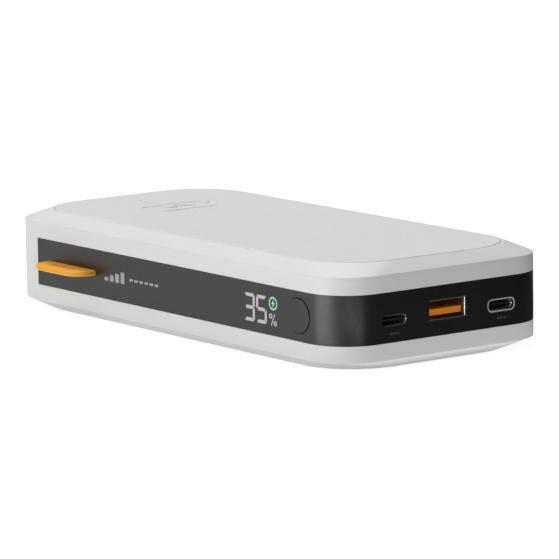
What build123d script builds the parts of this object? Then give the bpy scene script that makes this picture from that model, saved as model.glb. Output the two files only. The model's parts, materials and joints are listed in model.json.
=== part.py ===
from build123d import *
import os

# Pocket power bank: two stacked pouch cells and a charging board in a two-part
# white case, with a dark band that carries the display, the button and the ports.
# Millimetres. Origin: centre of the underside. +X: port end. -Y: display side. +Z: up.

os.makedirs("parts", exist_ok=True)

# ---------- case ----------
LENGTH = 160.0
WIDTH = 75.0
HEIGHT = 29.4
CORNER_R = 13.2          # vertical corners
SLOPE_RUN = 4.8          # sloped edge round the top and the bottom, measured inwards
SLOPE_RISE = 3.0         # the same edge, measured upwards
FLAT_CORNER_R = 18.0     # corner of the flat inside the sloped edge
SLOPE_SOFTENING = 0.35   # fillet where the wall turns into the slope
WALL = 2.8
FLOOR_Z = 3.2            # inside face of the lower shell's floor
ROOF_Z = HEIGHT - 3.2    # inside face of the upper shell's roof
SPLIT_Z = HEIGHT / 2     # where the two shells meet, behind the band
LIP_T = 0.6              # upstanding lip of the lower shell
LIP_H = 1.2
LIP_GAP = 0.1

# ---------- panels let into the top and the underside ----------
PANEL_T = 1.25
PANEL_GAP = 0.15         # round the panel's edge
PANEL_INSET = 0.3        # panel edge to the start of the slope
PANEL_STAND = 0.2        # how far the panel stands above the slope's edge
PANEL_EDGE_R = 0.35
ADHESIVE_T = 0.15
ADHESIVE_INSET = 3.0
SYMBOL_DEPTH = 0.25      # debossed battery symbol
SYMBOL_X = -44.5
SYMBOL_SCALE = 1.4

# ---------- band ----------
BAND_Z0 = 7.8
BAND_Z1 = 21.6
BAND_T = 1.6
BAND_END_X = -64.4
BAND_GAP = 0.05

# ---------- button ----------
BUTTON_X = 62.0
BUTTON_Z = 14.8
BUTTON_R = 4.8
BUTTON_GAP = 0.22
BUTTON_PROUD = 0.2       # face of the released button beyond the band's
BUTTON_EDGE_R = 0.06
BUTTON_FLANGE_R = 5.9
BUTTON_FLANGE_T = 0.9
BUTTON_REST_GAP = 0.2    # flange to the back of the band when released
BUTTON_STEM_R = 1.5
BUTTON_TRAVEL = 0.3
SWITCH_HALF = 2.3        # half the switch body's side
SWITCH_T = 1.5
SWITCH_BASE_T = 0.2
PLUNGER_R = 1.1
PLUNGER_BORE_R = 1.25
PLUNGER_OUT = 0.7        # released plunger above the switch body

# ---------- display ----------
DISPLAY_X0 = 35.6
DISPLAY_X1 = 54.6
DISPLAY_Z0 = 9.4
DISPLAY_Z1 = 19.8
DISPLAY_GAP = 0.2        # round the module and in front of it
SKIN_T = 0.6             # band left in front of the display
INLAY_T = 0.35           # clear digits let into that skin
SEGMENT_T = 0.95
SEGMENT_GAP = 0.12       # mitre gap, measured along the digit's edge
SEGMENT_CORNER_R = 0.22
DIGIT_W = 4.8
DIGIT_Z0 = 10.6
DIGIT_Z1 = 18.35
TENS_X = 37.45
UNITS_X = 42.9
PERCENT_X = 50.5
PERCENT_Z = 12.2
PERCENT_RING_R = 0.72
PERCENT_STROKE = 0.39
PERCENT_LENGTH = 3.7
PERCENT_SLANT = 64       # degrees from level
ICON_X = 50.6
ICON_Z = 16.7
ICON_R = 1.85
ICON_STROKE = 0.42

# ---------- daughterboard behind the band ----------
SIDE_BOARD_Y0 = -31.6
SIDE_BOARD_Y1 = -30.8
SIDE_BOARD_X0 = 33.4
SIDE_BOARD_X1 = 67.4
SIDE_BOARD_Z0 = 8.4
SIDE_BOARD_Z1 = 21.0
CRADLE_Z = 10.6          # top of the slotted posts that hold it

# ---------- pull tab ----------
TAB_Z = 14.7
TAB_T = 1.6
TAB_OUT = 7.4
TAB_X0 = -58.8
TAB_X1 = -34.4
TAB_CORNER_R = 6.0
TAB_EDGE_R = 0.75
TAB_RIBS = 5
TAB_RIB_PITCH = 2.4
TAB_RIB_LENGTH = 3.0
TAB_RIB_W = 0.9
TAB_RIB_H = 0.2
TAB_ANCHOR_SIDE = 2.0    # anchor wider than the slot, each side
TAB_ANCHOR_T = 1.6
TAB_ANCHOR_H = 4.4

# ---------- cells ----------
CELL_X0 = -69.0
CELL_X1 = 33.0
CELL_W = 60.0
CELL_H = 10.6
CELL_EDGE_R = 2.0
PAD_T = 0.5
SEAL_LENGTH = 3.6
SEAL_W = 54.0
SEAL_T = 0.4
TAB_STRIP_W = 8.0
TAB_STRIP_T = 0.2
TAB_STRIP_Y = 16.0
CELL_BOARD_X0 = 39.0
CELL_BOARD_X1 = 40.0
CELL_BOARD_W = 48.0
LEAD_R = 0.9
LEAD_Y = 3.5
LEAD_START_Z = 18.0
LEAD_END_X = 49.0

# ---------- main board ----------
BOARD_X0 = 42.4
BOARD_X1 = 76.6
BOARD_W = 59.0
BOARD_TOP = 12.2
BOARD_T = 1.2
BOARD_GAP = 0.4          # to the case walls and posts
BOARD_SCREWS = [(46.2, -25.0), (46.2, 25.0), (61.0, -26.5), (61.0, 26.5)]
CAPACITOR_R = 3.15
CAPACITOR_H = 6.8
INDUCTOR_X = 56.5
INDUCTORS = [(0.0, 11.0, 5.2), (15.5, 8.0, 4.0)]                  # y, side, height
CONTROLLERS = [(49.0, 10.0, 5.0, 0.9), (64.5, 16.5, 4.0, 0.9)]    # x, y, side, height
TRANSISTOR_X = 48.6
TRANSISTOR_Y = [-14.0, -9.4, 17.0, 21.6]
TRANSISTOR_SIDE = 3.3
TRANSISTOR_H = 0.8

# ---------- ribbon between the boards ----------
RIBBON_X0 = 50.0
RIBBON_X1 = 56.0
RIBBON_T = 0.3
RIBBON_SOCKET_Y = -27.8
SIDE_SOCKET_Z0 = 16.0
SOCKET_T = 1.2
SOCKET_W = 2.6

# ---------- ports ----------
PORT_LIP_T = 0.2         # band left standing in front of the left USB-C shell's edge
USB_C_LEFT_RECESS = 0.23     # shell's mouth behind the band's face
USB_C_RIGHT_RECESS = 0.85
USB_A_RECESS = 0.7       # USB-A shell's mouth behind the band's face
USB_A_FLARE = 0.1        # widening of its mouth, each side
USB_C_Y = 18.75
USB_C_Z = 13.8
USB_C_W = 8.94
USB_C_H = 3.2
USB_C_SHEET = 0.3
USB_C_LENGTH = 7.4
USB_C_TONGUE_W = 6.6
USB_C_TONGUE_T = 0.6
USB_C_CONTACTS = 12       # in each row
USB_C_PITCH = 0.5
USB_C_CONTACT_T = 0.06
USB_C_FLARE = 0.28       # widening of a USB-C shell's mouth, each side
USB_C_MOUTH_W = 8.7      # opening through that lip
USB_C_MOUTH_H = 2.96
USB_C_CUT_W = 9.1        # clearance round the shells, behind the lip
USB_C_CUT_H = 3.36
RING_W = 9.7
RING_H = 3.6
RING_WALL = 0.27
RING_CORNER_R = 1.5
RING_DEPTH = 0.3
RING_THROAT = 0.8        # depth of the straight opening through and behind the ring
USB_A_Z = 14.8
USB_A_W = 13.1
USB_A_H = 5.7
USB_A_SHEET = 0.3
USB_A_LENGTH = 14.0
USB_A_CUT_W = 13.3
USB_A_CUT_H = 5.9
TONGUE_RECESS = 0.75     # behind the shell's mouth
TONGUE_W = 11.1
TONGUE_Z0 = -1.55        # from the port's centre
TONGUE_Z1 = 0.15

# ---------- fasteners ----------
CASE_SCREWS = [(-72.4, -14.0), (-72.4, 14.0), (67.0, -25.0), (67.0, 25.0)]
CASE_BOSS_R = 2.9
CASE_SCREW_R = 1.0
CASE_HEAD_R = 1.9
CASE_HEAD_T = 1.3
CASE_SEAT_Z = 3.0        # seat in the lower shell; the head hangs below it
CASE_SCREW_TIP_Z = 22.0
BOARD_BOSS_R = 2.6
BOARD_SCREW_R = 0.8
BOARD_HEAD_R = 1.5
BOARD_HEAD_T = 1.0
SCREW_CLEARANCE = 0.04
RECESS_DEPTH = 0.6
RECESS_ARM = 0.95
RECESS_HALF_T = 0.2

# ---------- derived positions ----------
FACE_X = LENGTH / 2
FACE_Y = -WIDTH / 2
BAND_INNER_Y = FACE_Y + BAND_T
WALL_INNER_Y = FACE_Y + WALL
DISPLAY_FACE_Y = FACE_Y + SKIN_T + DISPLAY_GAP
SWITCH_Y = SIDE_BOARD_Y0 - SWITCH_T
PLUNGER_Y = SWITCH_Y - PLUNGER_OUT
CELL_LOWER_Z = FLOOR_Z + PAD_T
CELL_UPPER_Z = CELL_LOWER_Z + CELL_H + PAD_T
USB_A_MOUTH_X = FACE_X - USB_A_RECESS
USB_A_BACK_X = USB_A_MOUTH_X - USB_A_LENGTH


def block(x0, x1, y0, y1, z0, z1):
    """A box given by its six faces."""
    centre = Pos((x0 + x1) / 2, (y0 + y1) / 2, (z0 + z1) / 2)
    return centre * Box(x1 - x0, y1 - y0, z1 - z0)


def rounded_prism(length, width, radius, z0, z1):
    """An upright prism with rounded vertical corners, centred on the origin."""
    return Pos(0, 0, z0) * extrude(RectangleRounded(length, width, radius), z1 - z0)


def rod_y(radius, x, z, y0, y1):
    """A cylinder along Y."""
    return Pos(x, (y0 + y1) / 2, z) * Rot(90, 0, 0) * Cylinder(radius, y1 - y0)


def rod_z(radius, x, y, z0, z1):
    """A cylinder along Z."""
    return Pos(x, y, (z0 + z1) / 2) * Cylinder(radius, z1 - z0)


def slot_x(width, height, y, z, x0, x1):
    """A round-ended bar along X, wide in Y."""
    profile = Plane(origin=(x0, y, z), x_dir=(0, 1, 0), z_dir=(1, 0, 0)) * SlotOverall(width, height)
    return extrude(profile, x1 - x0)


def ring_bar(shrink, x0, x1):
    """The right-hand USB-C port's outline, a rounded rectangle, as a bar along X."""
    profile = RectangleRounded(RING_W - 2 * shrink, RING_H - 2 * shrink, RING_CORNER_R - shrink)
    plane = Plane(origin=(x0, USB_C_Y, USB_C_Z), x_dir=(0, 1, 0), z_dir=(1, 0, 0))
    return extrude(plane * profile, x1 - x0)


def face_plate(sketch, y0, y1):
    """A sketch drawn in X (right) and Z (up), seen from -Y, given a thickness along Y."""
    plane = Plane(origin=(0, y0, 0), x_dir=(1, 0, 0), z_dir=(0, -1, 0))
    return extrude(plane * sketch, y0 - y1)


def node(name, *shapes):
    """Write one named piece, or a group of identical separate pieces."""
    solids = [solid for shape in shapes for solid in shape.solids()]
    whole = solids[0] if len(solids) == 1 else Compound(children=solids)
    export_step(whole, f"parts/{name}.step")
    return whole


# ---------- outer form shared by the shells ----------
def sloped_edge(z_wide, z_flat):
    """The slope between the full outline and the smaller flat outline."""
    wide = Pos(0, 0, z_wide) * RectangleRounded(LENGTH, WIDTH, CORNER_R)
    flat = Pos(0, 0, z_flat) * RectangleRounded(
        LENGTH - 2 * SLOPE_RUN, WIDTH - 2 * SLOPE_RUN, FLAT_CORNER_R
    )
    if z_flat > z_wide:
        return loft([wide, flat], ruled=True)
    return loft([flat, wide], ruled=True)


def panel_outline(margin):
    """Length, width and corner radius of a panel-shaped outline shrunk by a margin."""
    inset = SLOPE_RUN + PANEL_INSET + margin
    return LENGTH - 2 * inset, WIDTH - 2 * inset, FLAT_CORNER_R - PANEL_INSET - margin


def outer_form():
    middle = rounded_prism(LENGTH, WIDTH, CORNER_R, SLOPE_RISE, HEIGHT - SLOPE_RISE)
    form = middle + sloped_edge(HEIGHT - SLOPE_RISE, HEIGHT) + sloped_edge(SLOPE_RISE, 0)
    turn = [
        edge
        for edge in form.edges()
        if abs(edge.center().Z - SLOPE_RISE) < 0.01 or abs(edge.center().Z - HEIGHT + SLOPE_RISE) < 0.01
    ]
    form = fillet(turn, SLOPE_SOFTENING)
    trimmed = block(-LENGTH, LENGTH, -WIDTH, WIDTH, PANEL_STAND, HEIGHT - PANEL_STAND)
    return form & trimmed


def band_ring(z0, z1, x0, depth, outwards=0.0):
    """The skin of the vertical walls from x0 to the port end."""
    outer = rounded_prism(LENGTH + 2 * outwards, WIDTH + 2 * outwards, CORNER_R + outwards, z0, z1)
    inner = rounded_prism(LENGTH - 2 * depth, WIDTH - 2 * depth, CORNER_R - depth, z0 - 1, z1 + 1)
    return (outer - inner) & block(x0, LENGTH, -WIDTH, WIDTH, z0, z1)


def shell_blank():
    length, width, radius = panel_outline(-PANEL_GAP)
    blank = outer_form()
    blank -= rounded_prism(LENGTH - 2 * WALL, WIDTH - 2 * WALL, CORNER_R - WALL, FLOOR_Z, ROOF_Z)
    blank -= rounded_prism(length, width, radius, HEIGHT - PANEL_T - ADHESIVE_T, HEIGHT + 1)
    blank -= rounded_prism(length, width, radius, -1, PANEL_T + ADHESIVE_T)
    blank -= band_ring(BAND_Z0 - BAND_GAP, BAND_Z1 + BAND_GAP, BAND_END_X - BAND_GAP, BAND_T, 1.0)
    return blank


def lip(gap):
    """The lower shell's locating lip, or the groove for it when gap is above zero."""
    outer = rounded_prism(
        LENGTH - 2 * (WALL - LIP_T - gap),
        WIDTH - 2 * (WALL - LIP_T - gap),
        CORNER_R - WALL + LIP_T + gap,
        SPLIT_Z,
        SPLIT_Z + LIP_H + gap,
    )
    inner = rounded_prism(
        LENGTH - 2 * WALL, WIDTH - 2 * WALL, CORNER_R - WALL, SPLIT_Z - 1, SPLIT_Z + LIP_H + 1
    )
    return outer - inner


# ---------- openings through the side walls ----------
def port_openings(usb_c_w, usb_c_h, usb_a_w, usb_a_h):
    x0 = LENGTH / 2 - WALL - 1
    x1 = LENGTH / 2 + 1
    openings = block(x0, x1, -usb_a_w / 2, usb_a_w / 2, USB_A_Z - usb_a_h / 2, USB_A_Z + usb_a_h / 2)
    for side in (-1, 1):
        openings += slot_x(usb_c_w, usb_c_h, side * USB_C_Y, USB_C_Z, x0, x1)
    return openings


def tab_bar(y0, y1):
    """The pull tab's round-edged cross-section, as a bar along Y."""
    profile = RectangleRounded(TAB_X1 - TAB_X0, TAB_T, TAB_EDGE_R)
    return face_plate(Pos((TAB_X0 + TAB_X1) / 2, TAB_Z) * profile, y0, y1)


def wall_openings():
    """Everything that passes through the shells' walls behind the band."""
    button = rod_y(BUTTON_FLANGE_R + 0.3, BUTTON_X, BUTTON_Z, FACE_Y - 1, WALL_INNER_Y + 1)
    display = block(
        DISPLAY_X0 - 0.3, DISPLAY_X1 + 0.3, FACE_Y - 1, WALL_INNER_Y + 1, DISPLAY_Z0 - 0.3, DISPLAY_Z1 + 0.3
    )
    ports = port_openings(USB_C_W + 0.3, USB_C_H + 0.3, USB_A_W + 0.2, USB_A_H + 0.2)
    return button + display + ports + tab_bar(FACE_Y - 1, WALL_INNER_Y + 1)


# ---------- shells ----------
def lower_shell(blank):
    shell = blank & block(-LENGTH, LENGTH, -WIDTH, WIDTH, -1, SPLIT_Z)
    shell += lip(0)
    for x, y in CASE_SCREWS:
        shell += rod_z(CASE_BOSS_R, x, y, FLOOR_Z - 0.5, SPLIT_Z)
    for x, y in BOARD_SCREWS:
        shell += rod_z(BOARD_BOSS_R, x, y, FLOOR_Z - 0.5, BOARD_TOP - BOARD_T)
    for x in (SIDE_BOARD_X0 + 0.8, SIDE_BOARD_X1 - 0.8):
        cradle = block(x - 0.8, x + 0.8, SIDE_BOARD_Y0 - 1.2, SIDE_BOARD_Y1 + 1.2, FLOOR_Z - 0.5, CRADLE_Z)
        shell += cradle - block(x - 2, x + 2, SIDE_BOARD_Y0, SIDE_BOARD_Y1, SIDE_BOARD_Z0, CRADLE_Z + 1)
    shell -= wall_openings()
    for x, y in CASE_SCREWS:
        shell -= rod_z(CASE_SCREW_R + 0.2, x, y, 0, SPLIT_Z + 1)
        shell -= rod_z(CASE_HEAD_R + 0.2, x, y, 0, CASE_SEAT_Z)
    for x, y in BOARD_SCREWS:
        shell -= rod_z(BOARD_SCREW_R + SCREW_CLEARANCE, x, y, 5.0, BOARD_TOP)
    return shell


def upper_shell(blank):
    shell = blank & block(-LENGTH, LENGTH, -WIDTH, WIDTH, SPLIT_Z, HEIGHT + 1)
    shell -= lip(LIP_GAP)
    for x, y in CASE_SCREWS:
        post = rod_z(CASE_BOSS_R - 0.1, x, y, SPLIT_Z, ROOF_Z + 0.5)
        shell += post - lip(LIP_GAP)
    shell -= wall_openings()
    for x, y in CASE_SCREWS:
        shell -= rod_z(CASE_SCREW_R + SCREW_CLEARANCE, x, y, SPLIT_Z - 1, CASE_SCREW_TIP_Z + 1)
    return shell


# ---------- panels ----------
def panel(z0, z1, outer_z):
    plate = rounded_prism(*panel_outline(0), z0, z1)
    rim = [edge for edge in plate.edges() if abs(edge.center().Z - outer_z) < 0.01]
    return fillet(rim, PANEL_EDGE_R)


def battery_symbol():
    """A debossed battery outline with a bolt in it, read from the port end."""
    body = RectangleRounded(8.0, 15.0, 1.2) - RectangleRounded(6.8, 13.8, 0.8)
    cap = Pos(0, 8.4) * RectangleRounded(3.6, 1.4, 0.4)
    bolt = make_face(
        Polyline((0.4, 4.6), (-2.2, -0.5), (-0.3, -0.5), (-0.6, -4.6), (2.2, 0.7), (0.3, 0.7), (0.4, 4.6))
    )
    symbol = scale(body + cap + bolt, SYMBOL_SCALE)
    return Pos(SYMBOL_X, 0, HEIGHT - SYMBOL_DEPTH) * extrude(symbol, 1)


def adhesive_sheet(z0):
    return rounded_prism(*panel_outline(ADHESIVE_INSET), z0, z0 + ADHESIVE_T)


# ---------- band ----------
def digit_segments(x, segments):
    """The lit bars of one seven-segment digit whose left edge is at x."""
    t, g = SEGMENT_T, SEGMENT_GAP
    left, right = x, x + DIGIT_W
    low, high = DIGIT_Z0, DIGIT_Z1
    middle = (low + high) / 2
    outlines = {
        "top": [(left + g, high), (right - g, high), (right - t - g, high - t), (left + t + g, high - t)],
        "bottom": [(left + g, low), (left + t + g, low + t), (right - t - g, low + t), (right - g, low)],
        "middle": [
            (left + t / 2 + g, middle),
            (left + t + g, middle + t / 2),
            (right - t - g, middle + t / 2),
            (right - t / 2 - g, middle),
            (right - t - g, middle - t / 2),
            (left + t + g, middle - t / 2),
        ],
    }
    for side, outer, inner, tip in (
        ("left", left, left + t, left + t / 2),
        ("right", right, right - t, right - t / 2),
    ):
        for half, end, up in (("upper", high, 1), ("lower", low, -1)):
            outlines[f"{half}_{side}"] = [
                (outer, end - up * g),
                (inner, end - up * (t + g)),
                (inner, middle + up * (t / 2 + g)),
                (tip, middle + up * g),
                (outer, middle + up * g),
            ]
    bars = []
    for segment in segments:
        corners = outlines[segment]
        bar = make_face(Polyline(*corners, corners[0]))
        bars.append(fillet(bar.vertices(), SEGMENT_CORNER_R))
    return bars


def percent_sign():
    centre = Pos(PERCENT_X, PERCENT_Z)
    ring = Circle(PERCENT_RING_R) - Circle(PERCENT_RING_R - PERCENT_STROKE)
    stroke = Rot(0, 0, PERCENT_SLANT) * RectangleRounded(PERCENT_LENGTH, PERCENT_STROKE, 0.15)
    return [centre * stroke, centre * Pos(-1.05, 0.95) * ring, centre * Pos(1.05, -0.95) * ring]


def charge_icon():
    ring = Circle(ICON_R) - Circle(ICON_R - ICON_STROKE)
    bolt = make_face(
        Polyline((0.3, 1.3), (-0.8, -0.2), (-0.1, -0.2), (-0.3, -1.3), (0.8, 0.2), (0.1, 0.2), (0.3, 1.3))
    )
    return [Pos(ICON_X, ICON_Z) * ring, Pos(ICON_X, ICON_Z) * bolt]


def inlays(sketches):
    """Clear inlays flush with the band's face, lit through the thin skin behind them."""
    return [face_plate(sketch, FACE_Y, FACE_Y + INLAY_T) for sketch in sketches]


def dark_band(lit_marks):
    band = band_ring(BAND_Z0, BAND_Z1, BAND_END_X, BAND_T)
    band -= block(
        DISPLAY_X0 - DISPLAY_GAP,
        DISPLAY_X1 + DISPLAY_GAP,
        FACE_Y + SKIN_T,
        BAND_INNER_Y + 1,
        DISPLAY_Z0 - DISPLAY_GAP,
        DISPLAY_Z1 + DISPLAY_GAP,
    )
    band -= rod_y(BUTTON_R + BUTTON_GAP, BUTTON_X, BUTTON_Z, FACE_Y - 1, BAND_INNER_Y + 1)
    band -= tab_bar(FACE_Y - 1, BAND_INNER_Y + 1)
    half_w, half_h = USB_A_CUT_W / 2, USB_A_CUT_H / 2
    band -= block(FACE_X - 3, FACE_X + 1, -half_w, half_w, USB_A_Z - half_h, USB_A_Z + half_h)
    band -= slot_x(USB_C_MOUTH_W, USB_C_MOUTH_H, -USB_C_Y, USB_C_Z, FACE_X - 1, FACE_X + 1)
    band -= ring_bar(0, FACE_X - RING_DEPTH, FACE_X + 1)
    band -= ring_bar(RING_WALL, FACE_X - RING_THROAT - 0.1, FACE_X)
    for side, front in ((-1, FACE_X - PORT_LIP_T), (1, FACE_X - RING_THROAT)):
        band -= slot_x(USB_C_CUT_W, USB_C_CUT_H, side * USB_C_Y, USB_C_Z, FACE_X - 3, front)
    for mark in lit_marks:
        band -= mark
    return band


def usb_c_trim_ring():
    back_x = FACE_X - RING_DEPTH
    return ring_bar(0, back_x, FACE_X) - ring_bar(RING_WALL, back_x - 1, FACE_X + 1)


# ---------- pull tab ----------
def pull_tab():
    tip_y = FACE_Y - TAB_OUT
    low, high = TAB_Z - TAB_T / 2, TAB_Z + TAB_T / 2
    blade = block(TAB_X0, TAB_X1, tip_y, FACE_Y, low, high)
    corners = [edge for edge in blade.edges().filter_by(Axis.Z) if abs(edge.center().Y - tip_y) < 0.01]
    blade = fillet(corners, TAB_CORNER_R)
    rim = [
        edge
        for edge in blade.edges()
        if edge.center().Y < FACE_Y - 0.01 and abs(abs(edge.center().Z - TAB_Z) - TAB_T / 2) < 0.01
    ]
    blade = fillet(rim, TAB_EDGE_R)
    for step in range(TAB_RIBS):
        rib_x = (TAB_X0 + TAB_X1) / 2 + (step - (TAB_RIBS - 1) / 2) * TAB_RIB_PITCH
        outline = Rot(0, 0, 90) * SlotOverall(TAB_RIB_LENGTH, TAB_RIB_W)
        blade += Pos(rib_x, FACE_Y - TAB_OUT / 2, high) * extrude(outline, TAB_RIB_H)
    neck = tab_bar(FACE_Y, WALL_INNER_Y)
    anchor = block(
        TAB_X0 - TAB_ANCHOR_SIDE,
        TAB_X1 + TAB_ANCHOR_SIDE,
        WALL_INNER_Y,
        WALL_INNER_Y + TAB_ANCHOR_T,
        TAB_Z - TAB_ANCHOR_H / 2,
        TAB_Z + TAB_ANCHOR_H / 2,
    )
    return blade + neck + anchor


# ---------- button and switch ----------
def power_button():
    flange_y = BAND_INNER_Y + BUTTON_REST_GAP
    face_y = FACE_Y - BUTTON_PROUD
    cap = rod_y(BUTTON_R, BUTTON_X, BUTTON_Z, face_y, flange_y)
    face_edge = [edge for edge in cap.edges() if abs(edge.center().Y - face_y) < 0.01]
    cap = fillet(face_edge, BUTTON_EDGE_R)
    flange = rod_y(BUTTON_FLANGE_R, BUTTON_X, BUTTON_Z, flange_y, flange_y + BUTTON_FLANGE_T)
    stem = rod_y(BUTTON_STEM_R, BUTTON_X, BUTTON_Z, flange_y, PLUNGER_Y - 0.05)
    return cap + flange + stem


def switch_body():
    body = block(
        BUTTON_X - SWITCH_HALF,
        BUTTON_X + SWITCH_HALF,
        SWITCH_Y,
        SIDE_BOARD_Y0,
        BUTTON_Z - SWITCH_HALF,
        BUTTON_Z + SWITCH_HALF,
    )
    return body - rod_y(PLUNGER_BORE_R, BUTTON_X, BUTTON_Z, SWITCH_Y - 1, SIDE_BOARD_Y0 - SWITCH_BASE_T)


def switch_plunger():
    inner_y = SIDE_BOARD_Y0 - SWITCH_BASE_T - BUTTON_TRAVEL - 0.2
    return rod_y(PLUNGER_R, BUTTON_X, BUTTON_Z, PLUNGER_Y, inner_y)


# ---------- ports ----------
def usb_c_shell(side, mouth_x):
    y = side * USB_C_Y
    back_x = mouth_x - USB_C_LENGTH
    inner_w = USB_C_W - 2 * USB_C_SHEET
    inner_h = USB_C_H - 2 * USB_C_SHEET
    outer = slot_x(USB_C_W, USB_C_H, y, USB_C_Z, back_x, mouth_x)
    inner = slot_x(inner_w, inner_h, y, USB_C_Z, back_x - 1, mouth_x + 1)
    sections = []
    for x, widening in ((mouth_x - USB_C_FLARE, 0), (mouth_x, 2 * USB_C_FLARE)):
        plane = Plane(origin=(x, y, USB_C_Z), x_dir=(0, 1, 0), z_dir=(1, 0, 0))
        sections.append(plane * SlotOverall(inner_w + widening, inner_h))
    return outer - inner - loft(sections, ruled=True)


def usb_c_core(side, mouth_x):
    """Tongue and the moulded block that closes the back of the shell."""
    y = side * USB_C_Y
    back_x = mouth_x - USB_C_LENGTH
    inner_w = USB_C_W - 2 * USB_C_SHEET
    inner_h = USB_C_H - 2 * USB_C_SHEET
    plug = slot_x(inner_w, inner_h, y, USB_C_Z, back_x, back_x + 1.4)
    half_w, half_t = USB_C_TONGUE_W / 2, USB_C_TONGUE_T / 2
    tongue = block(back_x, mouth_x - 0.9, y - half_w, y + half_w, USB_C_Z - half_t, USB_C_Z + half_t)
    return plug + tongue


def usb_c_contacts(side, mouth_x):
    """Rows of contacts on both faces of the tongue."""
    contacts = []
    half_w, half_t = 0.12, USB_C_CONTACT_T / 2
    for index in range(USB_C_CONTACTS):
        y = side * USB_C_Y + (index - (USB_C_CONTACTS - 1) / 2) * USB_C_PITCH
        for face in (-1, 1):
            z = USB_C_Z + face * (USB_C_TONGUE_T / 2 + half_t)
            contacts.append(
                block(mouth_x - 5.4, mouth_x - 1.3, y - half_w, y + half_w, z - half_t, z + half_t)
            )
    return contacts


def usb_a_shell():
    half_w, half_h = USB_A_W / 2, USB_A_H / 2
    outer = block(USB_A_BACK_X, USB_A_MOUTH_X, -half_w, half_w, USB_A_Z - half_h, USB_A_Z + half_h)
    half_w, half_h = half_w - USB_A_SHEET, half_h - USB_A_SHEET
    inner = block(
        USB_A_BACK_X + USB_A_SHEET, USB_A_MOUTH_X + 1, -half_w, half_w, USB_A_Z - half_h, USB_A_Z + half_h
    )
    sections = []
    for x, widening in ((USB_A_MOUTH_X - USB_A_FLARE, 0), (USB_A_MOUTH_X, 2 * USB_A_FLARE)):
        plane = Plane(origin=(x, 0, USB_A_Z), x_dir=(0, 1, 0), z_dir=(1, 0, 0))
        sections.append(plane * Rectangle(2 * half_w + widening, 2 * half_h))
    shell = outer - inner - loft(sections, ruled=True)
    for y in (-3.2, 3.2):
        shell += usb_a_spring(y, USB_A_Z + half_h)
    return shell


def usb_a_spring(y, roof):
    """A leaf bent down from the shell's roof that presses on the plug."""
    profile = make_face(
        Polyline(
            (USB_A_MOUTH_X - 9.0, roof + 0.1),
            (USB_A_MOUTH_X - 3.0, roof - 0.7),
            (USB_A_MOUTH_X - 1.4, roof - 0.25),
            (USB_A_MOUTH_X - 1.4, roof - 0.05),
            (USB_A_MOUTH_X - 3.0, roof - 0.5),
            (USB_A_MOUTH_X - 7.5, roof + 0.1),
            (USB_A_MOUTH_X - 9.0, roof + 0.1),
        )
    )
    plane = Plane(origin=(0, y + 1.1, 0), x_dir=(1, 0, 0), z_dir=(0, -1, 0))
    return extrude(plane * profile, 2.2)


def usb_a_core():
    """Coloured tongue and the block that fills the back of the shell."""
    back_x = USB_A_BACK_X + USB_A_SHEET
    half_w, half_h = USB_A_W / 2 - USB_A_SHEET, USB_A_H / 2 - USB_A_SHEET
    filler = block(back_x, back_x + 3.2, -half_w, half_w, USB_A_Z - half_h, USB_A_Z + half_h)
    front_x, half_w = USB_A_MOUTH_X - TONGUE_RECESS, TONGUE_W / 2
    tongue = block(back_x, front_x, -half_w, half_w, USB_A_Z + TONGUE_Z0, USB_A_Z + TONGUE_Z1)
    return filler + tongue


def usb_a_contacts():
    """Four sprung contact strips that rise from the tongue's upper face."""
    base = USB_A_Z + TONGUE_Z1
    contacts = []
    for y in (-3.5, -1.0, 1.0, 3.5):
        profile = make_face(
            Polyline(
                (USB_A_MOUTH_X - 9.5, base),
                (USB_A_MOUTH_X - 2.4, base),
                (USB_A_MOUTH_X - 2.4, base + 0.15),
                (USB_A_MOUTH_X - 4.2, base + 0.85),
                (USB_A_MOUTH_X - 5.0, base + 0.85),
                (USB_A_MOUTH_X - 9.5, base + 0.15),
                (USB_A_MOUTH_X - 9.5, base),
            )
        )
        plane = Plane(origin=(0, y + 0.5, 0), x_dir=(1, 0, 0), z_dir=(0, -1, 0))
        contacts.append(extrude(plane * profile, 1.0))
    return contacts


# ---------- boards and what is on them ----------
def main_board():
    top, base = BOARD_TOP, BOARD_TOP - BOARD_T
    margin = WALL + BOARD_GAP
    inside_case = rounded_prism(LENGTH - 2 * margin, WIDTH - 2 * margin, CORNER_R - margin, base, top)
    board = block(BOARD_X0, BOARD_X1, -BOARD_W / 2, BOARD_W / 2, base, top) & inside_case
    notch_half = USB_A_W / 2 + 0.2
    board -= block(USB_A_BACK_X - 0.2, BOARD_X1 + 1, -notch_half, notch_half, base - 1, top + 1)
    for x, y in BOARD_SCREWS:
        board -= rod_z(BOARD_SCREW_R + 0.15, x, y, base - 1, top + 1)
    for x, y in CASE_SCREWS:
        board -= rod_z(CASE_BOSS_R + BOARD_GAP, x, y, base - 1, top + 1)
    return board


def side_board():
    return block(SIDE_BOARD_X0, SIDE_BOARD_X1, SIDE_BOARD_Y0, SIDE_BOARD_Y1, SIDE_BOARD_Z0, SIDE_BOARD_Z1)


def display_module():
    return block(
        DISPLAY_X0, DISPLAY_X1, DISPLAY_FACE_Y, SIDE_BOARD_Y0, DISPLAY_Z0, DISPLAY_Z1
    )


def display_ribbon():
    """Flat cable from a socket on the back of the side board to one on the main board."""
    path = Spline(
        [(SIDE_BOARD_Y1 + 0.6, SIDE_SOCKET_Z0), (-29.0, 14.8), (RIBBON_SOCKET_Y, BOARD_TOP + SOCKET_T)],
        tangents=[(0, -1), (0, -1)],
    )
    strip = Plane(origin=(RIBBON_X0, 0, 0), x_dir=(0, 1, 0), z_dir=(1, 0, 0)) * trace(path, RIBBON_T)
    return extrude(strip, RIBBON_X1 - RIBBON_X0)


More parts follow.
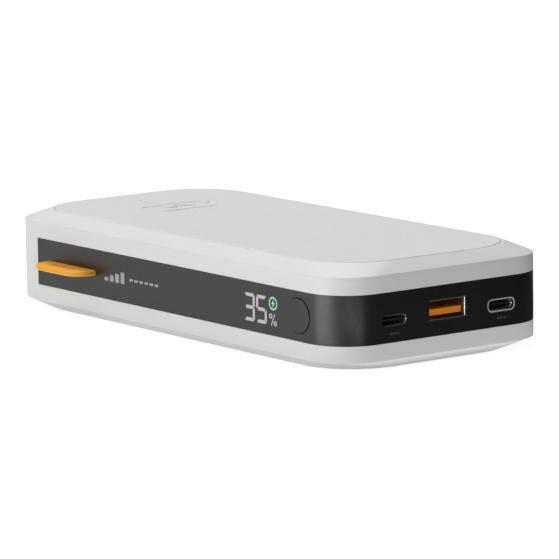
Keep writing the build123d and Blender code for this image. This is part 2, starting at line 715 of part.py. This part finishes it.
def ribbon_sockets():
    x0, x1 = RIBBON_X0 - 0.8, RIBBON_X1 + 0.8
    z0, z1 = SIDE_SOCKET_Z0, SIDE_SOCKET_Z0 + SOCKET_W
    on_side_board = block(x0, x1, SIDE_BOARD_Y1, SIDE_BOARD_Y1 + SOCKET_T, z0, z1)
    y0, y1 = RIBBON_SOCKET_Y - SOCKET_W / 2, RIBBON_SOCKET_Y + SOCKET_W / 2
    on_main_board = block(x0, x1, y0, y1, BOARD_TOP, BOARD_TOP + SOCKET_T)
    return on_side_board, on_main_board


# ---------- cells ----------
def cell(z0):
    body = block(CELL_X0, CELL_X1, -CELL_W / 2, CELL_W / 2, z0, z0 + CELL_H)
    body = fillet(body.edges(), CELL_EDGE_R)
    middle = z0 + CELL_H / 2
    half_w, half_t = SEAL_W / 2, SEAL_T / 2
    seal = block(CELL_X1 - 0.5, CELL_X1 + SEAL_LENGTH, -half_w, half_w, middle - half_t, middle + half_t)
    return body + seal


def foam_pad(z0):
    return block(CELL_X0 + 4, CELL_X1 - 4, -CELL_W / 2 + 4, CELL_W / 2 - 4, z0, z0 + PAD_T)


def cell_terminals():
    """Nickel strips from the cells' seals into slots of the protection board."""
    strips = []
    for z0 in (CELL_LOWER_Z, CELL_UPPER_Z):
        z = z0 + CELL_H / 2
        for side in (-1, 1):
            y = side * TAB_STRIP_Y
            strips.append(
                block(
                    CELL_X1 + SEAL_LENGTH,
                    CELL_BOARD_X1,
                    y - TAB_STRIP_W / 2,
                    y + TAB_STRIP_W / 2,
                    z - TAB_STRIP_T / 2,
                    z + TAB_STRIP_T / 2,
                )
            )
    return strips


def protection_board(strips):
    board = block(CELL_BOARD_X0, CELL_BOARD_X1, -CELL_BOARD_W / 2, CELL_BOARD_W / 2, FLOOR_Z, ROOF_Z - 0.2)
    for strip in strips:
        board -= strip
    return board


def battery_lead(y):
    """A short round lead from the protection board, over and down to the main board."""
    start = (CELL_BOARD_X1, y, LEAD_START_Z)
    end = (LEAD_END_X, y, BOARD_TOP)
    path = Spline([start, end], tangents=[(1, 0, 0), (0, 0, -1)])
    return sweep(Plane(origin=start, z_dir=(1, 0, 0)) * Circle(LEAD_R), path)


def power_inductors():
    inductors = []
    for y, side, height in INDUCTORS:
        outline = RectangleRounded(side, side, 0.15 * side)
        inductors.append(Pos(INDUCTOR_X, y, BOARD_TOP) * extrude(outline, height))
    return inductors


def output_capacitors():
    places = [(58.0, -13.0), (58.0, -21.0), (66.5, -12.6)]
    return [rod_z(CAPACITOR_R, x, y, BOARD_TOP, BOARD_TOP + CAPACITOR_H) for x, y in places]


def chip(x, y, side, height):
    half = side / 2
    return block(x - half, x + half, y - half, y + half, BOARD_TOP, BOARD_TOP + height)


# ---------- fasteners ----------
def cross_recess(x, y, z, up):
    """A cross-head recess in a screw head whose face is at z."""
    z0, z1 = (z - RECESS_DEPTH, z + 0.1) if up else (z - 0.1, z + RECESS_DEPTH)
    arm, half_t = RECESS_ARM, RECESS_HALF_T
    along_x = block(x - arm, x + arm, y - half_t, y + half_t, z0, z1)
    along_y = block(x - half_t, x + half_t, y - arm, y + arm, z0, z1)
    return along_x + along_y


def case_screws():
    screws = []
    for x, y in CASE_SCREWS:
        face = CASE_SEAT_Z - CASE_HEAD_T
        head = rod_z(CASE_HEAD_R, x, y, face, CASE_SEAT_Z)
        shank = rod_z(CASE_SCREW_R, x, y, CASE_SEAT_Z, CASE_SCREW_TIP_Z)
        screws.append(head + shank - cross_recess(x, y, face, False))
    return screws


def board_screws():
    screws = []
    for x, y in BOARD_SCREWS:
        head = rod_z(BOARD_HEAD_R, x, y, BOARD_TOP, BOARD_TOP + BOARD_HEAD_T)
        shank = rod_z(BOARD_SCREW_R, x, y, 6.0, BOARD_TOP)
        screws.append(head + shank - cross_recess(x, y, BOARD_TOP + BOARD_HEAD_T, True))
    return screws


# ---------- build ----------
blank = shell_blank()
node("lower_shell", lower_shell(blank))
node("upper_shell", upper_shell(blank))
node("top_panel", panel(HEIGHT - PANEL_T, HEIGHT, HEIGHT) - battery_symbol())
node("bottom_panel", panel(0, PANEL_T, 0))
node("top_panel_adhesive", adhesive_sheet(HEIGHT - PANEL_T - ADHESIVE_T))
node("bottom_panel_adhesive", adhesive_sheet(PANEL_T))

digits = digit_segments(TENS_X, ["top", "upper_right", "middle", "lower_right", "bottom"])
digits += digit_segments(UNITS_X, ["top", "upper_left", "middle", "lower_right", "bottom"])
digit_inlays = inlays(digits + percent_sign())
icon_inlays = inlays(charge_icon())
node("dark_band", dark_band(digit_inlays + icon_inlays))
node("display_digits", *digit_inlays)
node("charge_icon", *icon_inlays)
node("display_module", display_module())
node("usb_c_trim_ring", usb_c_trim_ring())
node("pull_tab", pull_tab())

node("power_button", power_button())
node("switch_body", switch_body())
node("switch_plunger", switch_plunger())
node("side_board", side_board())
node("display_ribbon", display_ribbon())
node("ribbon_sockets", *ribbon_sockets())

node("main_board", main_board())
for place, side, mouth_x in (
    ("left", -1, FACE_X - USB_C_LEFT_RECESS),
    ("right", 1, FACE_X - USB_C_RIGHT_RECESS),
):
    node(f"usb_c_{place}_shell", usb_c_shell(side, mouth_x))
    node(f"usb_c_{place}_tongue", usb_c_core(side, mouth_x))
    node(f"usb_c_{place}_contacts", *usb_c_contacts(side, mouth_x))
node("usb_a_shell", usb_a_shell())
node("usb_a_tongue", usb_a_core())
node("usb_a_contacts", *usb_a_contacts())
node("power_inductors", *power_inductors())
node("output_capacitors", *output_capacitors())
node("controller_chips", *[chip(*chip_size) for chip_size in CONTROLLERS])
node("power_transistors", *[chip(TRANSISTOR_X, y, TRANSISTOR_SIDE, TRANSISTOR_H) for y in TRANSISTOR_Y])

node("lower_cell", cell(CELL_LOWER_Z))
node("upper_cell", cell(CELL_UPPER_Z))
node("lower_foam_pad", foam_pad(FLOOR_Z))
node("middle_foam_pad", foam_pad(CELL_LOWER_Z + CELL_H))
node("upper_foam_pad", foam_pad(CELL_UPPER_Z + CELL_H))
strips = cell_terminals()
node("cell_terminals", *strips)
node("protection_board", protection_board(strips))
node("positive_lead", battery_lead(LEAD_Y))
node("negative_lead", battery_lead(-LEAD_Y))
node("case_screws", *case_screws())
node("board_screws", *board_screws())
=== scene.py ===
import json
import math

import bmesh
import bpy
from mathutils import Matrix, Vector


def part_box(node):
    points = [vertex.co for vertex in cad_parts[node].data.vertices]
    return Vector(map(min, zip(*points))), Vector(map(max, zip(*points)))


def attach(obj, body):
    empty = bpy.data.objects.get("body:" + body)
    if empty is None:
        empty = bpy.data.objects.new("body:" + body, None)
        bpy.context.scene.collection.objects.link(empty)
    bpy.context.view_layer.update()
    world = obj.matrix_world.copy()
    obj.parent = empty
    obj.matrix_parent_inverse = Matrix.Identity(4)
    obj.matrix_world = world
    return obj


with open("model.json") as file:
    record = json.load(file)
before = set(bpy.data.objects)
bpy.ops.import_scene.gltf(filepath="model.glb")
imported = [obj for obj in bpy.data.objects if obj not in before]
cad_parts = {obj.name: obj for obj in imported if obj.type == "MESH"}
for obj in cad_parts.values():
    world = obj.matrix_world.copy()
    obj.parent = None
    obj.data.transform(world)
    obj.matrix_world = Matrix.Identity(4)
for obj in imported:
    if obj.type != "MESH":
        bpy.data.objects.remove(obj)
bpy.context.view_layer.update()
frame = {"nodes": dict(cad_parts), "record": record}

# Looks of a white power bank with a dark wrap-round band. Metres, in the CAD frame:
# +X is the port end, -Y the display side, +Z up, origin under the middle of the body.

MM = 0.001
BODY = "case"
BAND = "dark_band"

# Rows of marks printed on the band, in millimetres along its face and up from the underside.
# The ticks start from the middle of their port.
LEVEL_BARS = dict(count=4, start=-30.0, pitch=2.7, width=1.8, low=13.2, height=1.1, radius=0.35, rise=0.73)
DASHES = dict(count=6, start=-17.6, pitch=2.5, width=1.7, low=14.4, height=0.7, radius=0.3)
PORT_TICKS = dict(count=3, start=-1.6, pitch=1.2, width=0.8, low=9.9, height=0.6, radius=0.2)
INK_PROUD = 0.02 * MM      # how far the ink stands out of the band

# The paper floor glows by this much to each kind of ray: it is white to the camera, and dim in
# the light and the reflections that it gives the object.
PAPER_GLOW = {"Camera": 0.68, "Diffuse": 0.275, "Glossy": 0.1}
PAPER_REACH = 6.0
WORLD_LIGHT = 0.15

# Camera: angles in degrees, the azimuth counted from the display side towards the port end
AZIMUTH = 53.075
ELEVATION = 9.377
ROLL = -0.775
DISTANCE = 1175.8 * MM     # from the middle of the body
LOOK_HEIGHT = 14.7 * MM    # the middle of the body, above the floor
MOVED_RIGHT = 2.306 * MM   # along the camera's own right
MOVED_DOWN = 1.7145 * MM   # and its own down
LENS = 263.6               # focal length and sensor width in millimetres
SENSOR = 36
NEAR_CLIP = 0.05


# ---------- node helpers ----------
def rgba(color, factor=1.0):
    return (*(factor * value for value in color), 1)


def grey(tone):
    return (tone, tone, tone)


def new_material(name, color, roughness, metallic=0.0, **inputs):
    """A Principled material; extra inputs are given by their socket names with underscores."""
    material = bpy.data.materials.new(name)
    material.use_nodes = True
    shader = material.node_tree.nodes["Principled BSDF"]
    shader.inputs["Base Color"].default_value = rgba(color)
    shader.inputs["Roughness"].default_value = roughness
    shader.inputs["Metallic"].default_value = metallic
    for socket, value in inputs.items():
        shader.inputs[socket.replace("_", " ")].default_value = value
    return material


def shader_of(material):
    return material.node_tree.nodes["Principled BSDF"]


def add_node(material, kind, **values):
    """A node with its input sockets, or its own settings, set by name."""
    node = material.node_tree.nodes.new(kind)
    for name, value in values.items():
        if name in node.inputs:
            node.inputs[name].default_value = value
        else:
            setattr(node, name, value)
    return node


def link(material, source, target):
    material.node_tree.links.new(source, target)


def place(material, stretch=(1, 1, 1)):
    """Object coordinates in metres, stretched per axis."""
    where = add_node(material, "ShaderNodeTexCoord")
    mapping = add_node(material, "ShaderNodeMapping", Scale=stretch)
    link(material, where.outputs["Object"], mapping.inputs["Vector"])
    return mapping.outputs["Vector"]


def noise(material, scale, detail=3.0, roughness=0.5, stretch=(1, 1, 1)):
    """Noise from 0 to 1, with scale cells to a metre."""
    texture = add_node(material, "ShaderNodeTexNoise", Scale=scale, Detail=detail, Roughness=roughness)
    link(material, place(material, stretch), texture.inputs["Vector"])
    return texture.outputs["Fac"]


def remap(material, value, low, high):
    """The middle of a noise's range, where nearly all of it lies, carried to low..high."""
    node = add_node(material, "ShaderNodeMapRange")
    node.inputs["From Min"].default_value = 0.3
    node.inputs["From Max"].default_value = 0.7
    node.inputs["To Min"].default_value = low
    node.inputs["To Max"].default_value = high
    link(material, value, node.inputs["Value"])
    return node.outputs["Result"]


def vary_roughness(material, scale, low, high, **options):
    result = remap(material, noise(material, scale, **options), low, high)
    link(material, result, shader_of(material).inputs["Roughness"])


def vary_color(material, scale, dark, light, **options):
    """A mottle between two close tones."""
    mix = add_node(material, "ShaderNodeMix", data_type="RGBA")
    mix.inputs["A"].default_value = rgba(dark)
    mix.inputs["B"].default_value = rgba(light)
    link(material, remap(material, noise(material, scale, **options), 0, 1), mix.inputs["Factor"])
    link(material, mix.outputs["Result"], shader_of(material).inputs["Base Color"])


def add_bump(material, height, distance, strength=1.0):
    """Height runs from 0 to 1; distance is what 1 means, in metres."""
    bump = add_node(material, "ShaderNodeBump", Distance=distance, Strength=strength)
    link(material, height, bump.inputs["Height"])
    link(material, bump.outputs["Normal"], shader_of(material).inputs["Normal"])


# ---------- materials ----------
def white_plastic(name, tone, roughness):
    """Injection-moulded matt plastic: an even fine spark texture and a faint mottle."""
    material = new_material(name, grey(tone), roughness)
    vary_color(material, 45, grey(tone - 0.012), grey(tone), detail=2)
    vary_roughness(material, 900, roughness - 0.05, roughness + 0.06)
    add_bump(material, noise(material, 3200, detail=2), 0.02 * MM, 0.35)
    return material


def satin_black(name):
    """Dark satin polycarbonate with a very fine texture."""
    material = new_material(name, (0.008, 0.0082, 0.0088), 0.34, Specular_IOR_Level=0.8)
    vary_color(material, 60, (0.007, 0.0072, 0.0076), (0.009, 0.0092, 0.0098), detail=2)
    vary_roughness(material, 700, 0.3, 0.38)
    add_bump(material, noise(material, 2600, detail=2), 0.01 * MM, 0.3)
    return material


def lit_plastic(name, color, strength):
    """A clear inlay lit from behind, its glow very slightly uneven."""
    material = new_material(name, tuple(0.3 * value for value in color), 0.35)
    shader = shader_of(material)
    shader.inputs["Emission Strength"].default_value = strength
    glow = add_node(material, "ShaderNodeMix", data_type="RGBA")
    glow.inputs["A"].default_value = rgba(color, 0.9)
    glow.inputs["B"].default_value = rgba(color)
    link(material, remap(material, noise(material, 1500), 0, 1), glow.inputs["Factor"])
    link(material, glow.outputs["Result"], shader.inputs["Emission Color"])
    return material


def black_moulding():
    """Matt black nylon of the switch, the sockets, the display module and the USB-C tongues."""
    material = new_material("black_moulding", (0.012, 0.012, 0.013), 0.5)
    vary_roughness(material, 1200, 0.42, 0.58)
    add_bump(material, noise(material, 5000), 0.01 * MM, 0.3)
    return material


def orange_rubber():
    """Soft silicone: matt, faintly translucent, with a fine skin texture."""
    material = new_material("orange_rubber", (0.96, 0.42, 0.02), 0.55, Subsurface_Weight=0.1)
    shader = shader_of(material)
    shader.inputs["Subsurface Radius"].default_value = (1.0, 0.4, 0.1)
    shader.inputs["Subsurface Scale"].default_value = 0.5 * MM
    vary_color(material, 260, (0.95, 0.41, 0.018), (0.98, 0.45, 0.024), detail=3)
    vary_roughness(material, 1500, 0.48, 0.62)
    add_bump(material, noise(material, 4200, detail=3), 0.02 * MM, 0.4)
    return material


def orange_moulding():
    """Hard orange plastic of the USB-A tongue, with little gloss."""
    material = new_material("orange_moulding", (0.98, 0.3, 0.006), 0.5, Specular_IOR_Level=0.3)
    vary_color(material, 400, (0.96, 0.27, 0.004), (1.0, 0.31, 0.008))
    vary_roughness(material, 1400, 0.44, 0.56)
    add_bump(material, noise(material, 5200), 0.01 * MM, 0.3)
    return material


def metal(name, color, low, high, stretch, bump=0.15, metallic=1.0):
    """Metal with fine draw lines along one direction."""
    material = new_material(name, color, (low + high) / 2, metallic)
    grain = noise(material, 900, detail=4, stretch=stretch)
    link(material, remap(material, grain, low, high), shader_of(material).inputs["Roughness"])
    add_bump(material, grain, 0.008 * MM, bump)
    return material


def circuit_board():
    """Green solder mask over a grid of copper tracks."""
    material = new_material("circuit_board", (0.01, 0.09, 0.045), 0.35)
    tracks = add_node(material, "ShaderNodeTexBrick", Scale=220.0)
    tracks.inputs["Color1"].default_value = rgba((0.008, 0.075, 0.04))
    tracks.inputs["Color2"].default_value = rgba((0.01, 0.1, 0.05))
    tracks.inputs["Mortar"].default_value = rgba((0.03, 0.2, 0.09))
    tracks.inputs["Mortar Size"].default_value = 0.06
    link(material, place(material), tracks.inputs["Vector"])
    link(material, tracks.outputs["Color"], shader_of(material).inputs["Base Color"])
    vary_roughness(material, 600, 0.3, 0.45)
    add_bump(material, tracks.outputs["Fac"], 0.02 * MM, 0.4)
    return material


def cell_foil():
    """Crinkled aluminium laminate of a pouch cell."""
    material = new_material("cell_foil", (0.72, 0.73, 0.75), 0.32, metallic=0.9)
    vary_roughness(material, 120, 0.24, 0.42)
    add_bump(material, noise(material, 90, detail=5), 0.15 * MM, 0.5)
    return material


def foam():
    """Dark foam with fine open pores."""
    material = new_material("foam", (0.05, 0.05, 0.052), 0.9)
    pores = add_node(material, "ShaderNodeTexVoronoi", Scale=2500.0)
    link(material, place(material), pores.inputs["Vector"])
    add_bump(material, pores.outputs["Distance"], 0.1 * MM, 0.6)
    vary_roughness(material, 500, 0.82, 0.96)
    return material


def plain_skin(name, color):
    """A smooth skin in one colour, its gloss a little uneven: insulation, ferrite or chip resin."""
    material = new_material(name, color, 0.5)
    vary_roughness(material, 800, 0.42, 0.58)
    add_bump(material, noise(material, 2400), 0.01 * MM, 0.3)
    return material


def adhesive():
    """Pale double-sided tape."""
    material = new_material("adhesive", (0.6, 0.58, 0.5), 0.4)
    vary_roughness(material, 300, 0.3, 0.5)
    add_bump(material, noise(material, 500), 0.02 * MM, 0.3)
    return material


def printed_ink(name, tone):
    """Pale grey pad print, slightly uneven."""
    material = new_material(name, grey(tone), 0.6)
    vary_color(material, 1800, grey(0.88 * tone), grey(1.08 * tone))
    vary_roughness(material, 2500, 0.52, 0.68)
    return material


MATERIALS = {
    "white_shell": white_plastic("white_shell", 0.80, 0.5),
    "white_panel": white_plastic("white_panel", 0.84, 0.42),
    "dark_band": satin_black("dark_band"),
    "dark_button": satin_black("dark_button"),
    "display_white": lit_plastic("display_white", (0.44, 0.435, 0.42), 0.9),
    "display_green": lit_plastic("display_green", (0.33, 0.67, 0.39), 0.95),
    "black_moulding": black_moulding(),
    "orange_rubber": orange_rubber(),
    "orange_moulding": orange_moulding(),
    "satin_metal": metal("satin_metal", (0.7, 0.7, 0.71), 0.4, 0.5, (1, 1, 0.2), metallic=0.2),
    "port_steel": metal("port_steel", (0.8, 0.8, 0.81), 0.1, 0.18, (0.15, 1, 1), metallic=0.9),
    "contact_gold": metal("contact_gold", (0.9, 0.66, 0.3), 0.18, 0.3, (0.15, 1, 1)),
    "nickel": metal("nickel", (0.62, 0.6, 0.55), 0.25, 0.4, (0.15, 1, 1)),
    "screw_steel": metal("screw_steel", (0.5, 0.5, 0.51), 0.25, 0.45, (1, 1, 0.3)),
    "capacitor_can": metal("capacitor_can", (0.75, 0.75, 0.76), 0.25, 0.4, (1, 1, 0.2)),
    "circuit_board": circuit_board(),
    "cell_foil": cell_foil(),
    "foam": foam(),
    "adhesive": adhesive(),
    "ribbon": plain_skin("ribbon", (0.5, 0.22, 0.04)),
    "ferrite": plain_skin("ferrite", (0.06, 0.06, 0.065)),
    "chip_black": plain_skin("chip_black", (0.02, 0.02, 0.021)),
    "lead_red": plain_skin("lead_red", (0.5, 0.012, 0.01)),
    "lead_black": plain_skin("lead_black", (0.012, 0.012, 0.012)),
}


def dress_cad_nodes():
    """Every CAD node takes the material of its slot in the record."""
    for part in frame["record"]["subparts"]:
        mesh = frame["nodes"][part["node"]].data
        mesh.materials.clear()
        mesh.materials.append(MATERIALS[part["material_slot"]])


# ---------- printed marks ----------
def flat_piece(name, loops, to_world, material):
    """A thin printed patch: outlines in millimetres, (right, up), laid on a face of the band."""
    mesh = bmesh.new()
    for loop in loops:
        face = mesh.faces.new([mesh.verts.new(to_world(x * MM, z * MM)) for x, z in loop])
        face.normal_update()
    data = bpy.data.meshes.new(name)
    mesh.to_mesh(data)
    mesh.free()
    piece = bpy.data.objects.new(name, data)
    bpy.context.scene.collection.objects.link(piece)
    data.materials.append(material)
    skin = piece.modifiers.new("ink", "SOLIDIFY")
    skin.thickness = 2 * INK_PROUD
    skin.offset = 0
    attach(piece, BODY)


def rounded_loop(x0, x1, z0, z1, radius, steps=5):
    """Outline of a rounded rectangle, anticlockwise."""
    points = []
    corners = ((x1, z1, 0), (x0, z1, 90), (x0, z0, 180), (x1, z0, 270))
    for x, z, start in corners:
        cx = x - radius if x == x1 else x + radius
        cz = z - radius if z == z1 else z + radius
        for step in range(steps + 1):
            angle = math.radians(start + 90 * step / steps)
            points.append((cx + radius * math.cos(angle), cz + radius * math.sin(angle)))
    return points


def mark_row(count, start, pitch, width, low, height, radius, rise=0.0, about=0.0):
    """Outlines of a row of rounded marks, each one taller than the last by rise."""
    outlines = []
    for k in range(count):
        left = about + start + pitch * k
        outlines.append(rounded_loop(left, left + width, low, low + height + rise * k, radius))
    return outlines


def printed_marks():
    low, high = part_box(BAND)
    ink = printed_ink("printed_ink", 0.42)
    faint_ink = printed_ink("faint_ink", 0.07)

    def on_side(x, z):
        return Vector((x, low.y, z))

    def on_end(y, z):
        return Vector((high.x, y, z))

    flat_piece("level_mark", mark_row(**LEVEL_BARS), on_side, ink)
    flat_piece("dash_mark", mark_row(**DASHES), on_side, ink)
    mounts = {mount["name"]: mount["pos_m"] for mount in frame["record"]["mounts"]}
    for side in ("left", "right"):
        port_y = mounts[f"usb_c_{side}"][1] / MM
        flat_piece(f"port_mark_{side}", mark_row(**PORT_TICKS, about=port_y), on_end, faint_ink)


# ---------- stage ----------
def stage_sheet(name, outline, material, height=0.0):
    """A flat sheet lying over the floor, its outline in metres."""
    data = bpy.data.meshes.new(name)
    data.from_pydata([(x, y, height) for x, y in outline], [], [tuple(range(len(outline)))])
    sheet = bpy.data.objects.new(name, data)
    data.materials.append(material)
    bpy.context.scene.collection.objects.link(sheet)
    return sheet


def rectangle(x0, x1, y0, y1):
    return [(x0, y0), (x1, y0), (x1, y1), (x0, y1)]


def wedge(apex, near, far, first, last):
    """A sector cut straight across: from near to far along two directions out of its apex."""
    rays = ((near, first), (far, first), (far, last), (near, last))
    return [(apex[0] + reach * way[0], apex[1] + reach * way[1]) for reach, way in rays]


def paper():
    """White paper: brighter to the camera than to the object standing on it."""
    material = new_material("paper", grey(0.72), 0.9)
    shader = shader_of(material)
    shader.inputs["Emission Color"].default_value = rgba(grey(1))
    rays = add_node(material, "ShaderNodeLightPath")
    # each step adds one kind of ray's share to what the next step brings
    target = shader.inputs["Emission Strength"]
    for ray, glow in PAPER_GLOW.items():
        share = add_node(material, "ShaderNodeMath", operation="MULTIPLY_ADD")
        factor, addend = share.inputs[1], share.inputs[2]
        factor.default_value = glow
        addend.default_value = 0
        link(material, rays.outputs[f"Is {ray} Ray"], share.inputs[0])
        link(material, share.outputs["Value"], target)
        target = addend
    return material


def glowing(name, strength):
    """Black but for its own even white light."""
    return new_material(name, grey(0), 1.0, Emission_Color=rgba(grey(1)), Emission_Strength=strength)


# Sheets on the floor round the body that the camera doesn't see: black flags, whose glow is 0,
# and glowing cards. Each is seen by one kind of ray. Outlines and heights are in metres.
END_FLAG = [(0.081, -0.046), (1.38, -1.57), (3, -1.57), (3, 4), (0.081, 4)]
BACK_FLAG = rectangle(0.015, 0.0805, 0.04, 4)
BACK_SHADE = rectangle(-0.3, 1.5, 0.052, 2)
PORT_CARD = rectangle(0.118, 0.146, -0.095, -0.03)
CORNER_CARD = wedge((0.073, -0.036), 0.035, 0.6, (-0.52, -0.854), (0.24, -0.971))
END_CARD = rectangle(0.0795, 0.4, -0.1, 0.05)
LIGHT_SHAPERS = (
    # name, outline, height, glow, ray
    ("end_flag", END_FLAG, 0.4 * MM, 0, "glossy"),
    ("port_card", PORT_CARD, 0.9 * MM, 3.0, "glossy"),
    ("back_flag", BACK_FLAG, 0.4 * MM, 0, "glossy"),
    ("back_shade", BACK_SHADE, 1.0 * MM, 0, "diffuse"),
    ("corner_card", CORNER_CARD, 0.8 * MM, 2.8, "glossy"),
    ("end_card", END_CARD, 0.6 * MM, 1.03, "diffuse"),
)


def light_shapers():
    """Flags and cards: they set what the walls, the band and the ports reflect."""
    black = new_material("flag_black", grey(0.01), 0.9)
    for name, outline, height, glow, ray in LIGHT_SHAPERS:
        material = glowing(f"{name}_glow", glow) if glow else black
        sheet = stage_sheet(name, outline, material, height)
        sheet.visible_camera = False
        sheet.visible_shadow = False
        sheet.visible_transmission = False
        sheet.visible_diffuse = ray == "diffuse"
        sheet.visible_glossy = ray == "glossy"


def softbox(name, position, size, power):
    """A square area light aimed at the origin."""
    light = bpy.data.lights.new(name, "AREA")
    light.shape = "SQUARE"
    light.size = size
    light.energy = power
    lamp = bpy.data.objects.new(name, light)
    turn = Vector(position).to_track_quat("Z", "Y").to_matrix().to_4x4()
    lamp.matrix_world = Matrix.Translation(position) @ turn
    bpy.context.scene.collection.objects.link(lamp)


def white_world():
    world = bpy.data.worlds.new("studio")
    world.use_nodes = True
    background = world.node_tree.nodes["Background"]
    background.inputs["Color"].default_value = rgba(grey(1))
    background.inputs["Strength"].default_value = WORLD_LIGHT
    bpy.context.scene.world = world
    bpy.context.scene.view_settings.view_transform = "Standard"


def build_stage():
    stage_sheet("floor", rectangle(-PAPER_REACH, PAPER_REACH, -PAPER_REACH, PAPER_REACH), paper())
    light_shapers()
    softbox("key", position=(-0.3, -1.98, 1.03), size=1.4, power=21)
    softbox("top", position=(-0.65, 0.5, 2.0), size=1.6, power=34.5)
    white_world()


# ---------- camera ----------
def build_camera():
    """Long lens from the port end of the display side, a little above the body."""
    azimuth, elevation, roll = (math.radians(angle) for angle in (AZIMUTH, ELEVATION, ROLL))
    out = Vector((math.sin(azimuth), -math.cos(azimuth), 0))
    back = math.cos(elevation) * out + Vector((0, 0, math.sin(elevation)))
    level = Vector((math.cos(azimuth), math.sin(azimuth), 0))
    upright = back.cross(level)
    right = level * math.cos(roll) + upright * math.sin(roll)
    up = upright * math.cos(roll) - level * math.sin(roll)
    position = Vector((0, 0, LOOK_HEIGHT)) + DISTANCE * back + MOVED_RIGHT * right - MOVED_DOWN * up

    data = bpy.data.cameras.new("camera")
    data.sensor_width = SENSOR
    data.lens = LENS
    data.clip_start = NEAR_CLIP
    camera = bpy.data.objects.new("camera", data)
    camera.matrix_world = Matrix.Translation(position) @ Matrix((right, up, back)).transposed().to_4x4()
    bpy.context.scene.collection.objects.link(camera)
    bpy.context.scene.camera = camera


dress_cad_nodes()
printed_marks()
build_stage()
build_camera()
